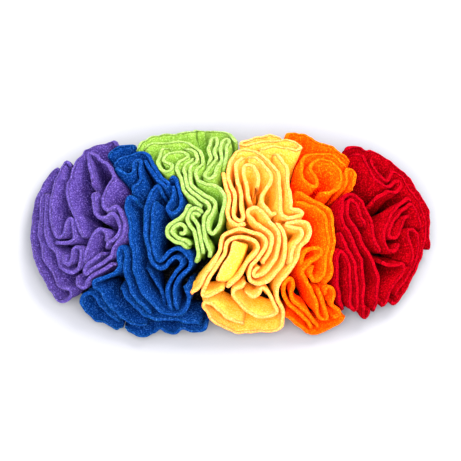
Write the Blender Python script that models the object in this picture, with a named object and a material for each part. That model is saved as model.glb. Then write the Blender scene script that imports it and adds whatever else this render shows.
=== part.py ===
"""A snuffle mat: an oval backing with gathered fleece layers sewn on it, edge up, in six colours.

The layers' cut edges meet in a low dome. Each layer is one sheet: its cut edge follows a row of folds
along the dome, and its sewn foot stands on the backing, drawn in towards the middle of its gather.

The folds are laid out on a grid seen from the front and above, as a maker would chalk them: "across"
runs from left to right and "down" from the back rim to the front one, in steps of GRID_STEP.
"""
import math

import bmesh
import bpy
import numpy as np

# The layout grid and the direction from which it is seen
GRID_STEP = 0.00075
GRID_MIDDLE_ACROSS = 230.5
GRID_MIDDLE_DOWN = 237.0
VIEW_TILT = math.radians(70.0)

# The dome over the cut edges
HALF_LENGTH = 0.152
HALF_DEPTH = 0.082
DOME_TOP = 0.058
DOME_EDGE = 0.010
PLAN_POWER = 2.6
DOME_POWER = 2.6
DOME_FALL = 0.7
FURTHEST_OUT = 0.985
SKIRT_REACH = 1.2

# The backing
BACKING_THICKNESS = 0.004
BACKING_HALF_LENGTH = 0.138
BACKING_HALF_DEPTH = 0.064
BACKING_SIDES = 48
BACKING_ROUND = 0.001

# The fleece layers
SEAM_GAP = 0.0003
EDGE_THICKNESS = 0.0026
FOOT_THICKNESS = 0.0010
FAN_LEAN = (0.65, 0.5)
LEAN_POWER = 2.3
GATHER_PULL = 0.25
GATHER_REACH = 0.030
SKIRT_START = 0.8
SKIRT_RUN = 0.008
TUCK_POWER = 5.0
LEVELS = (0.0, 0.6, 0.86, 1.0)
CURVE_STEPS = 12
LARGEST_TURN = math.radians(28.0)
LONGEST_STEP = 0.009
SHORTEST_STEP = 0.0022

COLOURS = {
    "purple": (0.155, 0.085, 0.52),
    "blue": (0.012, 0.085, 0.40),
    "green": (0.42, 0.72, 0.075),
    "yellow": (0.93, 0.72, 0.13),
    "orange": (0.90, 0.22, 0.012),
    "red": (0.56, 0.012, 0.045),
    "backing": (0.10, 0.10, 0.11),
}
FLEECE_ROUGHNESS = 0.95

# Middles of the gathers: across, down
GATHERS = (
    (88, 232),
    (128, 262),
    (150, 205),
    (192, 205),
    (258, 186),
    (252, 262),
    (318, 210),
    (312, 280),
    (380, 222),
)

# Creases towards which the layers beside them are tucked: from and to (across, down), pull, reach
CREASES = (
    ((66, 178), (69, 205), 0.5, 7),
    ((84, 178), (92, 212), 0.7, 11),
    ((101, 221), (113, 226), 0.5, 6),
    ((108, 150), (122, 190), 0.5, 9),
    ((137, 206), (141, 250), 0.6, 6),
    ((160.5, 214), (162, 240), 0.6, 8),
    ((190, 276), (196, 300), 0.7, 8),
    ((246, 296), (262, 304), 0.7, 9),
    ((110, 282), (126, 276), 0.7, 9),
    ((198, 262), (188, 287), 0.45, 9),
    ((258, 176), (262, 205), 0.6, 9),
    ((244, 178), (250, 200), 0.5, 5),
    ((292, 246), (300, 232), 0.5, 6),
    ((295, 290), (309, 312), 0.7, 7),
    ((312, 218), (318, 245), 0.6, 11),
    ((336, 196), (342, 215), 0.6, 9),
    ((322, 174), (330, 180), 0.5, 9),
    ((371, 208), (392, 205), 0.75, 9),
    ((376, 256), (392, 257), 0.7, 8),
    ((384, 272), (392, 286), 0.5, 8),
    ((343, 262), (344, 296), 0.5, 5),
    ((354, 208), (360, 224), 0.5, 6),
)

# The folds of each layer's cut edge, in order along it: across, down
LAYERS = {
    "purple": (
        (  # the left rim, out along the edge of the mat and back
            (55.7, 168.5), (54, 164.5), (50.5, 166.5), (46, 175.5), (41, 185), (36.5, 195), (33, 206), (31, 217), (30, 229), (31, 242),
            (33.5, 255), (38.5, 268), (45.5, 281), (52, 292), (58, 300.5), (64, 302), (70, 297),
            (70.5, 290.5), (65.5, 289.5), (61, 288), (55.5, 279.5), (49, 268), (43, 256), (39.5, 243),
            (38, 230), (38.7, 217), (40, 204), (42, 192),
        ),
        (
            (46.8, 191), (45.5, 200), (44, 211), (44, 223), (45, 234), (48, 244), (54, 250.5), (58.5, 257.5),
            (60.5, 265), (64.5, 270), (71, 272), (77, 269), (80.5, 262), (82, 254), (80, 248.7),
            (75.5, 247.5), (72.7, 251.5), (72, 258.5), (69, 264.3), (65, 260.5), (63.7, 254),
        ),
        (
            (69.5, 164.5), (66, 160.5), (61.5, 165), (55.5, 177), (52, 188), (50, 200), (49.5, 212), (51, 223), (55, 232), (60, 236.5),
            (64.5, 232), (66.3, 225), (69.3, 218.5), (72.7, 222), (73.6, 229.5), (73.7, 237.5), (69.5, 242.3),
            (62, 243.3), (55, 240.5),
        ),
        (
            (117, 142), (112, 139.3), (105, 139.5), (98, 142), (91, 145.3), (84.5, 150), (78.5, 157), (73.3, 166),
            (69.5, 175.5), (67, 185), (67.3, 196), (70, 206.5), (74.5, 216), (79, 226), (82.3, 234.5),
        ),
        (
            (91.5, 182), (90, 172), (88, 162), (87.5, 154.5), (92, 152.5), (99, 157), (105.5, 162.5),
            (110.5, 169.5), (112.5, 177), (109, 184), (105, 191), (103, 200), (105, 207.5), (110, 209),
            (115, 206.5), (120, 209), (123, 217), (124, 227), (123, 237), (118, 242.3), (114.3, 248.5),
            (112.3, 255.5), (107, 259.5), (99.5, 264), (92, 270), (87.5, 274.5), (84.3, 272), (87, 266),
            (93, 260), (99, 255.5), (104, 253.5),
        ),
        (
            (97, 191), (92.5, 196.5), (92.5, 205), (95, 212.5), (100, 217.5), (106, 217), (110.5, 213.5),
            (115, 213), (118, 217.5), (119.3, 225), (118.5, 233.5), (114, 239), (108.5, 242), (107, 247),
        ),
        (
            (77, 276), (78, 282), (82, 287), (86, 287), (88, 281.5), (93, 276.5), (100, 271), (107.5, 266.5),
            (115, 263),
        ),
        ((85.3, 261.5), (86.5, 256), (88.7, 247), (91.5, 239), (95.5, 232.3), (101, 229.7), (105.7, 233), (106.3, 239.5)),
    ),
    "blue": (
        ((108, 154), (112.5, 149.5), (119, 146.5), (127, 143.5), (134, 142.5)),
        (
            (112.5, 164), (118, 160), (125, 156), (132, 153), (139, 151.8), (145.5, 154), (150, 159.5),
            (154, 165.7), (158.3, 172.3), (163.5, 178.3), (168.3, 183.5), (166.3, 187.3), (161.7, 183.3),
            (156.7, 178), (151.7, 171.3), (147.7, 164.7), (143.7, 159),
        ),
        (
            (115, 168), (121.5, 172), (128, 173), (133, 169.5), (132.5, 163.5), (135.5, 159), (139.7, 161),
            (140.5, 169), (141.5, 177), (138.5, 183), (133.7, 186), (132, 192),
        ),
        (
            (138.5, 200), (133, 196.7), (127.7, 197.7), (126, 204.5), (127.7, 214),
            (130, 226), (131.3, 238), (133.2, 250), (134.7, 263), (137.3, 275), (141.7, 286.5),
            (148, 297), (155, 305.5), (162.5, 312), (171, 315), (180, 314), (186, 308), (188.7, 300.5),
            (186.5, 292), (184.5, 286),
        ),
        (
            (160.7, 194), (159, 187.7), (155.7, 185.3), (152.7, 189.5), (149.7, 196), (147.5, 204),
            (146, 215), (145.7, 227), (146.7, 239), (149, 251), (152.7, 261), (158.5, 267), (165, 267),
            (171, 262), (177, 258), (181.7, 260.5), (181, 267), (175.5, 273.5), (170.3, 282), (168, 292),
            (169.3, 302), (173, 309.5),
        ),
        (
            (156.3, 201.5), (154, 208.5), (152.8, 217), (152.3, 229), (152.8, 241), (155, 252), (159.5, 259.5),
            (165, 258.5), (170, 252.5), (177, 249.5), (185, 251.5), (190.3, 257.5), (190, 266), (184.5, 273.5),
            (178.3, 281), (175, 290), (175.3, 300), (179, 307.5),
        ),
        (
            (169, 176.5), (172.5, 175.5), (175, 178), (176.9, 183.3), (180.3, 190), (181.7, 197.5),
            (180, 204.5), (176, 210.7), (170.7, 213.7), (167.3, 209.5), (170, 203), (173.7, 196.7), (174.8, 190),
            (172.5, 184),
        ),
        (
            (151.5, 311.5), (144.5, 305.5), (137.5, 297.5), (131.5, 288), (127.7, 277), (126, 266), (126.3, 256),
            (126, 249.5), (122.5, 246), (119.3, 251), (119, 259), (120.3, 266.5), (116, 272.5), (108, 275.5),
            (100, 279), (94, 283.5), (94.3, 288.3), (99, 289), (104.5, 295), (109.5, 303), (115, 310),
            (122.5, 316.5), (130.5, 322), (138.5, 325.3), (146, 324.5),
        ),
        (
            (121.5, 288), (126, 296), (132, 303.5), (139, 309.5), (147, 315.5), (156, 318), (165, 319.2),
            (176, 320.3), (188, 321.7), (200, 322),
        ),
        (
            (120, 320), (113.5, 317.5), (107, 312.5), (101, 305.5), (96, 298.7), (90, 293.7), (83.5, 295),
            (82.5, 302), (88, 311.5), (96, 320), (105, 322.5), (112, 327), (118, 329.7),
            (122.3, 326),
        ),
        (
            (127, 324.5), (127.5, 330), (133, 332.7), (141, 336), (149, 335.5), (155.5, 331), (160.5, 327.5), (167.5, 331.5),
            (176.5, 333.5), (182.5, 329), (189, 330), (198, 331), (205, 328.3),
            (206.3, 322),
        ),
        ((149, 266), (153.5, 272.5), (158.5, 278.5), (162, 285), (163.7, 292), (164.7, 297)),
    ),
    "green": (
        (
            (236.5, 141), (233, 134.5), (225, 131), (215, 130.5), (206, 129), (198, 128.5), (189, 131),
            (178, 131.5), (167, 132.5), (157, 134.5), (149, 137), (142, 141.5), (136.5, 147.5),
        ),
        (
            (143.5, 147.3), (148.5, 144.3), (156, 142), (165, 141), (176, 141.2), (187, 142.3), (194.5, 145.3),
            (200.3, 149.5), (203.3, 155), (202.2, 161.5), (197.7, 167), (195.5, 173), (198.5, 178.5),
            (205, 182.1), (212.3, 184.7), (218.9, 188.4), (223.7, 194.5), (224.8, 203), (223.3, 211.5),
            (220.5, 219.5), (217.5, 227.5), (212.7, 232.8), (208.3, 231), (208, 225), (210, 218.2),
            (214, 211.5), (216.2, 205), (213.3, 199), (206.3, 195.2), (198.8, 191.2), (193, 185.2),
            (190, 178), (188.7, 171), (191.7, 165), (196.5, 160.2), (198.2, 154.6), (193.3, 149.9), (186, 147.2),
        ),
        (
            (193.7, 156.7), (190, 161.3), (185, 165), (183, 169.7), (184.3, 175.5), (186.5, 182.2),
            (190, 189.3), (195.5, 195.5), (202.7, 199.3), (208.5, 203), (210, 208), (206.9, 213.7),
            (204.1, 220.8), (203.2, 228.5), (204.8, 237), (207.5, 244.5), (209.5, 251), (209, 256.5),
        ),
        (
            (166.5, 146.3), (161.3, 149.3), (158.7, 155.5), (158.3, 162), (161, 167.3), (166, 169.8), (171.3, 168.8),
            (172.3, 164.3), (168.5, 161.7), (164.7, 159.7), (163.7, 155.6), (168.3, 152), (177, 151), (184.7, 152.2),
            (188, 155.6), (184.3, 159.6), (178.8, 162.6), (176.8, 167.6), (178.6, 174.8), (181.7, 182),
            (184.8, 190.4), (190, 197.9), (196.2, 202.8), (201.8, 204.8),
        ),
        (
            (205.5, 164.3), (209, 160.3), (210.7, 155), (209, 149.5), (210, 143), (213.2, 137.6), (217.8, 137.8),
            (216.3, 145), (214.9, 152), (215, 158.5), (212.3, 164), (208, 168.5), (205.7, 174.3),
            (209.8, 178), (214.5, 175), (217.3, 168), (220, 160.5), (220.7, 152.5), (221, 145), (224.5, 138.5),
            (229.3, 138), (227.6, 144.5), (226, 152), (224.7, 159.3), (222.3, 166),
        ),
        (
            (190.3, 204.3), (186.7, 206.5), (184.3, 212.3), (180.5, 217.5), (174.7, 220.7), (169.8, 225.3),
            (168, 232), (170, 238.8), (176.5, 243.2), (183, 244.7), (187.5, 247.5),
        ),
        (
            (190.3, 243), (186.3, 240.7), (181, 239.3), (175.7, 236.7), (173.3, 231.8), (175, 226.5), (180.3, 223.2),
            (184.9, 224.7), (186.3, 229.3), (183.3, 232.7), (179.5, 231),
        ),
        (
            (203, 211.5), (199.3, 209.2), (193.7, 208.7), (189.3, 211.7), (188.3, 218), (190.3, 225), (193.7, 232),
            (196.3, 239.3), (198.3, 246.7), (198.7, 254), (196.5, 260),
        ),
        (
            (200.3, 215.5), (197.3, 213.8), (194, 214), (193.4, 218), (196.5, 223), (198.3, 229.7), (200.3, 237.2),
            (202.5, 244.7), (203.5, 252),
        ),
    ),
    "yellow": (
        (
            (281.3, 136), (275, 134.3), (267, 134.5), (258, 137), (250, 138.5), (241, 141.8), (246.5, 145),
            (256, 142.5), (265, 140), (276, 139.5), (288, 140.5), (297.5, 141.5), (301.5, 146), (295.5, 149.3),
            (286, 147.2), (276, 145), (267, 145.7), (260, 148.5),
        ),
        (
            (275, 151.5), (281, 157.5), (285.7, 167), (288, 177.5), (289, 189), (289.3, 199), (291.5, 207.3),
            (298.5, 209.8), (302, 213.3), (299, 216.8), (291.5, 216.9), (284, 214.6), (280, 208), (279.8, 198.5),
            (280.5, 188.5), (279.7, 178.5), (276.7, 170), (271.7, 162.5), (265, 156.3), (257.5, 152),
            (249.5, 149.8), (241, 149.5), (234, 152.3), (230.8, 160), (229, 169), (228.6, 178), (231, 186.5),
            (234.8, 194.5), (235.4, 203.5), (233.2, 212), (234.7, 219), (239.5, 220.5), (242.7, 215.5),
            (241.8, 207), (241.5, 197), (239.5, 187), (237, 178), (236.5, 168.5), (238.3, 160), (243.5, 155.5),
        ),
        (
            (224.3, 171.5), (224, 177.3), (225, 184.5), (227.5, 192.3), (229.6, 200), (228.3, 208), (228, 216),
            (231.5, 223), (238.5, 225.6), (245, 222.5),
        ),
        (
            (249.5, 156), (257, 158.5), (264.5, 164), (269.7, 171.5), (271, 180.5), (267.7, 188.5),
            (262.7, 195.5), (261.9, 203.3), (266.3, 210.3), (271.5, 214.7), (275.7, 211.5),
        ),
        (
            (250.5, 201), (247.7, 192), (245.7, 182), (243.8, 172), (245.7, 165), (251.3, 165), (256, 171),
            (258, 179.5), (256.5, 187),
        ),
        (
            (262, 262.5), (268.3, 254), (271.3, 245), (270.7, 236.5), (266, 229.7), (259.3, 224.8),
            (252.5, 219.7), (247.5, 214.3), (248, 209.2), (253, 206.6), (258.3, 209.5), (263.3, 214.8),
            (269.3, 220.7), (274.5, 227.3), (278, 235.7), (279, 245), (276.7, 255), (271.5, 263.7), (265.3, 271.2),
            (259, 276.3), (254.3, 277), (253.5, 272.5), (257.5, 267.5),
        ),
        (
            (277.5, 222), (281, 229.3), (284.3, 238), (285.5, 248), (283.7, 258), (279.5, 267.5), (273.5, 275.7),
            (266.3, 281.8), (258, 284), (251, 281), (248, 274.7), (250.7, 267.3), (256.3, 260.7), (261.7, 254.3),
            (265.3, 246.7), (265, 239.3), (260.3, 233.7), (252.5, 231), (243, 230), (233, 230.7), (224.7, 234.5),
            (221, 242.3), (218.5, 252), (213.5, 262), (207.5, 272), (202, 282), (196.5, 291), (190.5, 293),
        ),
        (
            (222.7, 288.7), (218, 291), (210.5, 294.8), (203.7, 296), (203.3, 290.5), (207.7, 281.5),
            (213.5, 271.5), (219.3, 262), (223.8, 252.5), (226.3, 243.7), (231.5, 238.7), (241, 237.5),
            (250.5, 238.8), (257, 243.3), (257.5, 250.3), (252.7, 257), (247, 263.5), (242, 270.3), (237.3, 276.7),
            (232, 282.3), (227.5, 286),
        ),
        (
            (245, 281), (241, 286), (235.3, 289), (232.5, 294.3), (236, 301.7), (242.5, 308), (250, 313.3),
            (259.5, 316.2), (269.5, 316.3), (276, 312.5), (274.7, 305.3), (270.7, 298.3), (267.3, 291.7),
            (262, 288.5), (258.5, 292.7), (252.5, 295), (245.5, 291),
        ),
        (
            (288.7, 263.5), (290, 259.5), (291.5, 252), (295, 244.7), (299.8, 239.3), (302, 233.3),
            (299, 228.6), (292.5, 227.3), (287, 226), (287.3, 222.5), (293, 222), (300.7, 222.4), (307.3, 225.7),
            (310.5, 232), (308, 238.7), (302.5, 243.7), (298.3, 249.7), (295.8, 257.7), (292.7, 266), (287, 274),
            (280.7, 281.3), (276.3, 288.7), (276, 296), (279.3, 303.5), (281.5, 310.5), (282.3, 318), (281.5, 326),
            (271, 331), (258, 332.3), (245, 332.5), (233, 330.5), (222, 326.7), (213, 321), (207.5, 314.5),
            (203.5, 307), (206.5, 302), (213, 303.5), (219.5, 309.5), (226, 315), (233.5, 319.5), (242, 322.5),
        ),
        ((231.5, 243.5), (228.6, 252), (224.4, 261), (219.7, 269.5), (217.5, 273.2)),
    ),
    "orange": (
        (
            (286, 137.3), (290, 133), (298.5, 133), (307.5, 133.5), (315.5, 139.5), (325, 144.3), (334.5, 148), (342.5, 152.5),
            (349.5, 158.5),
        ),
        (
            (345.5, 163.5), (338.5, 158), (331, 155), (321.5, 153.8), (312, 153.3), (304.8, 155.5), (301.5, 161.7),
            (301.3, 169.5), (303.8, 177.7), (308.3, 184), (313.5, 186.3), (316.7, 181.5), (315.3, 174),
            (311.3, 168), (311, 162.5), (316.5, 160), (325, 160), (333, 162.5), (339.5, 168), (340.8, 176),
            (340.3, 184), (335.5, 190), (328, 192.3), (321.3, 190.3),
        ),
        (
            (296.5, 191), (302, 195.2), (309, 197.7), (316.5, 200.5), (323.3, 205), (329, 211), (332.3, 219),
            (333.3, 229), (333, 239), (332, 249), (330.7, 259), (330.5, 268), (329.5, 276), (325.7, 282.5),
        ),
        (
            (296.3, 200.5), (302.7, 203.5), (310, 205.3), (317.3, 208.2), (323.3, 213.3), (326.8, 221),
            (327.8, 231), (327.5, 241), (326.5, 250), (325, 259), (324.3, 267.5), (322.3, 275.2), (317, 279.7),
            (311.5, 277.7), (309.7, 271.5), (313.3, 265.5),
        ),
        (
            (300.9, 263.3), (300.7, 256.7), (304.3, 251.3), (311, 248.7), (317.7, 249.2), (320.3, 253.7),
            (316, 258.5), (309.3, 262.3), (303.7, 267.7), (302.5, 274.5), (305.8, 281.5), (311, 288.5),
            (314.5, 296.5), (316, 305), (317.7, 313.5), (322, 320), (326.5, 318.5), (326, 311.5), (323, 303.5),
            (320.7, 295), (319.3, 286.5),
        ),
        (
            (317.3, 327), (312.3, 320), (306.7, 313), (299.7, 307.3), (293.5, 301), (290.5, 293.3), (292, 286),
            (290.5, 279.7), (285.7, 281.7), (282.7, 288.5), (284.5, 296.7), (289, 304.3), (295.3, 310.5),
            (302.5, 316), (307.7, 322), (310.3, 327),
        ),
        (
            (325.3, 292), (328, 287.3), (332.5, 289.3), (333.3, 296), (331.5, 303), (335, 306.7), (339, 309.5),
            (339, 314), (335, 316), (331.7, 312.7),
        ),
        (
            (287, 316), (294, 321.3), (301.5, 327), (309, 333), (318, 333), (326.5, 330), (334, 326),
            (340.5, 321), (343.7, 315),
        ),
        (
            (345.5, 187.5), (347.5, 180.5), (345.5, 173), (348.5, 167.5), (353.5, 170.5), (355.5, 178),
            (353.3, 186.5),
        ),
    ),
    "red": (
        (
            (346, 148.3), (349, 146.5), (353.7, 145.3), (359, 145), (363.5, 148), (367.3, 150.7), (371.5, 150.5),
            (377, 152.3), (385, 155.5), (392, 160), (398, 165.3), (404.3, 171.3), (410.3, 178), (415.5, 186),
            (420.3, 194.3), (425.3, 202), (429.7, 209.7), (431, 218.5), (431.5, 228), (431.3, 237.5), (429.3, 246.5),
        ),
        (
            (371, 158.5), (373.5, 165.3), (377.5, 171.7), (382.3, 176.7), (387.3, 178.7), (391, 175.7),
            (393, 170.3), (397.7, 172.3), (403, 177.3), (407.7, 183.3), (412, 190.5), (416.5, 198), (420.7, 205.3),
            (424, 213), (425.7, 221.5), (426.3, 231), (425.5, 241), (423.3, 250.5), (420, 260), (416.3, 269.3),
            (411.7, 278.7), (406.3, 287.3), (401.5, 295),
            (397.5, 302.5), (392.7, 305), (391, 300.5),
        ),
        (
            (351, 152.5), (357.5, 153.3), (363, 156.3), (366.3, 162), (369, 169), (373.3, 175.7), (379, 181.3),
            (385, 184.7), (390.5, 184), (394.7, 180.7), (399, 179.3), (402.3, 183), (400.3, 188), (394.5, 190.7),
            (388, 191.5), (382, 194.7),
            (376.5, 198.3), (372.7, 202.5),
        ),
        (
            (411, 199), (407.7, 197.7), (403.3, 200.7), (398, 206.5), (392, 213), (387.7, 220.5), (385.3, 228.5),
            (384.3, 236.5), (385, 243.7), (388.5, 249.7), (393.5, 251.5), (397.5, 248.5), (398, 243),
        ),
        (
            (421, 226), (420.3, 217.5), (417, 209.7), (411, 203.7), (405.5, 207.3), (399.3, 213.3), (393.5, 221),
            (390, 229), (389.7, 236), (393.7, 238.5), (398.3, 234.3), (401.3, 227.5), (404.7, 220.3),
            (409.7, 213.7),
        ),
        (
            (394, 294.5), (398.5, 288.3), (404.5, 281), (410, 272.3), (414.5, 263.3), (417.7, 254),
            (420, 244.7), (418.9, 236.5), (414.3, 230.3), (408.5, 229.7), (407.3, 235.3), (410.7, 242),
            (413.3, 249), (412.5, 256.7), (408.7, 264.5),
        ),
        (
            (380, 260), (383.5, 263), (388.5, 265.3), (395.3, 266), (400.5, 264.3), (403.3, 268.5), (401, 275),
            (396.3, 282), (390.7, 288.7), (387.3, 296.5), (385.5, 303.5),
            (381.5, 306), (380, 300.5),
        ),
        (
            (368.7, 308), (368.5, 315.5), (365.3, 318.7), (362.3, 314), (362.5, 303), (363, 290), (362.3, 277), (360.7, 265), (357.7, 254), (353.3, 244),
            (348.3, 235), (344.5, 226), (342, 217), (341.3, 208), (342.5, 199.5), (346.7, 194), (352.5, 193.7),
            (358.3, 198), (363.7, 204.7), (368.3, 212.7), (370.7, 221.7), (372.7, 231), (376, 240.5), (380, 249.5),
        ),
        (
            (373.5, 309), (375, 302.5), (376.3, 294), (377.2, 286), (377, 281.5), (375.7, 272), (372, 262), (367, 252),
            (361.7, 242), (356.3, 232), (351.3, 223), (347.7, 214), (347, 205.5), (349.5, 199.5), (354.3, 201.3),
            (358.7, 207.7), (362.3, 215.5), (364.7, 224.5),
        ),
        (
            (342.5, 306.5), (339, 301), (337.5, 292), (336.5, 280), (336.3, 268), (337.3, 256.5), (340.7, 250.3), (344.7, 253.3),
            (347.5, 261.3), (349, 271.5), (349.7, 283.5), (350, 295.5), (350, 306), (353.5, 311), (357, 306),
            (356.7, 293), (356, 280), (354.7, 268), (351.7, 257.3), (347, 248), (341.7, 239.5), (339, 231),
        ),
    ),
}


# Layers that lie over into a hollow: how deep below the dome their cut edge is, how far over it lies from
# the foot (across, down), and the power that says how near to the edge the layer bends over
LYING = {
    "blue_layer_12": (0.010, (6, 0), 5.0),
    "yellow_layer_11": (0.001, (-13, -5), 20.0),
}


def smooth_curve(turns):
    """Points along a smooth curve through the turns, CURVE_STEPS to each stretch."""
    spots = [np.array(turn, dtype=float) for turn in turns]
    ends = [2.0 * spots[0] - spots[1]] + spots + [2.0 * spots[-1] - spots[-2]]
    points = []
    for before, start, end, after in zip(ends, ends[1:], ends[2:], ends[3:]):
        for step in range(CURVE_STEPS):
            part = step / CURVE_STEPS
            points.append(
                0.5
                * (
                    2.0 * start
                    + (end - before) * part
                    + (2.0 * before - 5.0 * start + 4.0 * end - after) * part**2
                    + (3.0 * start - before - 3.0 * end + after) * part**3
                )
            )
    points.append(spots[-1])
    return np.array(points)


def dome_height(x, y):
    """Height of the dome of cut edges over the plan, flat past its rim."""
    out = (abs(x) / HALF_LENGTH) ** PLAN_POWER + (abs(y) / HALF_DEPTH) ** PLAN_POWER
    out = min(out ** (1.0 / PLAN_POWER), 1.0)
    return DOME_EDGE + (DOME_TOP - DOME_EDGE) * (1.0 - out**DOME_POWER) ** DOME_FALL


def on_dome(across, down):
    """Place on the dome, in metres, that the layout grid shows at this point."""
    x = (across - GRID_MIDDLE_ACROSS) * GRID_STEP
    x = min(max(x, -FURTHEST_OUT * HALF_LENGTH), FURTHEST_OUT * HALF_LENGTH)
    seen_up = (GRID_MIDDLE_DOWN - down) * GRID_STEP
    reach = (1.0 - (abs(x) / HALF_LENGTH) ** PLAN_POWER) ** (1.0 / PLAN_POWER) * HALF_DEPTH * FURTHEST_OUT
    front, back = -SKIRT_REACH * HALF_DEPTH, reach
    samples = [front + (back - front) * step / 60 for step in range(61)]
    seen = [y * math.sin(VIEW_TILT) + dome_height(x, y) * math.cos(VIEW_TILT) for y in samples]
    highest = max(range(61), key=lambda step: seen[step])
    low, high = 0, highest
    if seen_up <= seen[low]:
        return np.array((x, samples[low], dome_height(x, samples[low])))
    if seen_up >= seen[high]:
        return np.array((x, samples[high], dome_height(x, samples[high])))
    below, above = samples[low], samples[high]
    for _ in range(40):
        middle = 0.5 * (below + above)
        if middle * math.sin(VIEW_TILT) + dome_height(x, middle) * math.cos(VIEW_TILT) < seen_up:
            below = middle
        else:
            above = middle
    return np.array((x, below, dome_height(x, below)))


def on_plan(steps):
    """A step on the layout grid as a plan vector in metres."""
    return np.array(steps) * GRID_STEP * np.array((1.0, -1.0 / math.sin(VIEW_TILT)))


def lean_of(edge):
    """How far a layer leans outwards at this place on its cut edge, as a plan vector from its sewn foot.

    The layers fan out from the middle of the mat and from their own gather, and most in the skirts."""
    shares = edge[:2] / np.array((HALF_LENGTH, HALF_DEPTH))
    fanned = np.array(FAN_LEAN) * (edge[2] - BACKING_THICKNESS) * shares
    out = float(np.sum(np.abs(shares) ** PLAN_POWER)) ** (1.0 / PLAN_POWER)
    skirt = min(max((out - SKIRT_START) / (1.0 - SKIRT_START), 0.0), 1.0) ** 2
    spread = SKIRT_RUN * skirt * shares / max(float(np.linalg.norm(shares)), 1e-9)
    pull = np.zeros(2)
    weight = 0.0
    for across, down in GATHERS:
        middle = on_dome(across, down)[:2]
        apart = edge[:2] - middle
        share = math.exp(-float(apart @ apart) / (2.0 * GATHER_REACH**2)) + 1e-9
        pull += share * middle
        weight += share
    return fanned + spread + GATHER_PULL * (edge[:2] - pull / weight)


def tuck_of(across, down):
    """How far the cloth beside a crease is tucked towards it below the cut edge, as a plan vector."""
    place = np.array((across, down), dtype=float)
    shift = np.zeros(2)
    for start, end, pull, reach in CREASES:
        start = np.array(start, dtype=float)
        run = np.array(end, dtype=float) - start
        length = float(np.linalg.norm(run))
        run /= length
        along = float((place - start) @ run)
        past = along - min(max(along, 0.0), length)
        beside = place - start - along * run
        near = math.exp(-(float(beside @ beside) + past**2) / (2.0 * reach**2))
        shift += pull * near * beside
    return on_plan(shift)


def fold_samples(turns):
    """Points along a layer's cut edge: close together in the folds, further apart between them."""
    curve = smooth_curve(turns)
    steps = np.diff(curve, axis=0)
    headings = np.unwrap(np.arctan2(steps[:, 1], steps[:, 0]))
    kept = [curve[0]]
    travelled = 0.0
    turned_from = headings[0]
    for index in range(1, len(curve) - 1):
        travelled += float(np.linalg.norm(steps[index - 1])) * GRID_STEP
        turned = abs(headings[index] - turned_from)
        if travelled >= LONGEST_STEP or (turned >= LARGEST_TURN and travelled >= SHORTEST_STEP):
            kept.append(curve[index])
            travelled = 0.0
            turned_from = headings[index]
    kept.append(curve[-1])
    return kept


def layer_middle(name, turns):
    """Grid of points through the middle of a layer's thickness: along the folds, then foot to edge."""
    sewn = BACKING_THICKNESS + SEAM_GAP
    deep, over, over_power = LYING.get(name, (0.0, (0.0, 0.0), TUCK_POWER))
    over = on_plan(over)
    rows = []
    for across, down in fold_samples(turns):
        edge = on_dome(across, down)
        lean = lean_of(edge)
        tuck = tuck_of(across, down)
        edge[2] -= deep
        row = []
        for level in LEVELS:
            bent = lean * (1.0 - level**LEAN_POWER) + tuck * (1.0 - level**TUCK_POWER)
            x, y = edge[:2] - bent - over * (1.0 - level**over_power)
            row.append((x, y, sewn + (edge[2] - sewn) * level))
        rows.append(row)
    return np.array(rows)


def layer_normals(middle):
    """Unit normals of the layer's middle surface."""
    along = np.gradient(middle, axis=0)
    up = np.gradient(middle, axis=1)
    normals = np.cross(along, up)
    return normals / np.linalg.norm(normals, axis=2, keepdims=True)


def layer_mesh(name, turns):
    """One fleece layer as a closed sheet, thinner at its sewn foot than at its cut edge."""
    middle = layer_middle(name, turns)
    half = 0.5 * (FOOT_THICKNESS + (EDGE_THICKNESS - FOOT_THICKNESS) * np.array(LEVELS) ** 2)
    offset = layer_normals(middle) * half[None, :, None]
    offset[:, 0, 2] = 0.0
    count, levels = middle.shape[:2]
    mesh = bmesh.new()
    sides = []
    for sign in (1.0, -1.0):
        points = middle + sign * offset
        sides.append([[mesh.verts.new(point) for point in row] for row in points])
    front, back = sides
    for i in range(count - 1):
        for j in range(levels - 1):
            mesh.faces.new((front[i][j], front[i + 1][j], front[i + 1][j + 1], front[i][j + 1]))
            mesh.faces.new((back[i][j], back[i][j + 1], back[i + 1][j + 1], back[i + 1][j]))
        mesh.faces.new((front[i][-1], front[i + 1][-1], back[i + 1][-1], back[i][-1]))
        mesh.faces.new((front[i][0], back[i][0], back[i + 1][0], front[i + 1][0]))
    for j in range(levels - 1):
        mesh.faces.new((front[0][j], front[0][j + 1], back[0][j + 1], back[0][j]))
        mesh.faces.new((front[-1][j], back[-1][j], back[-1][j + 1], front[-1][j + 1]))
    bmesh.ops.recalc_face_normals(mesh, faces=mesh.faces)
    data = bpy.data.meshes.new(name)
    mesh.to_mesh(data)
    mesh.free()
    return data


def fleece(colour):
    """A matt cloth material in one of the mat's colours."""
    material = bpy.data.materials.new(f"fleece_{colour}")
    material.use_nodes = True
    shader = material.node_tree.nodes["Principled BSDF"]
    shader.inputs["Base Color"].default_value = (*COLOURS[colour], 1.0)
    shader.inputs["Roughness"].default_value = FLEECE_ROUGHNESS
    shader.inputs["Metallic"].default_value = 0.0
    return material


def add_object(name, data, material):
    """Put a mesh into the scene with its own material."""
    piece = bpy.data.objects.new(name, data)
    data.materials.append(material)
    bpy.context.scene.collection.objects.link(piece)
    return piece


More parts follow.
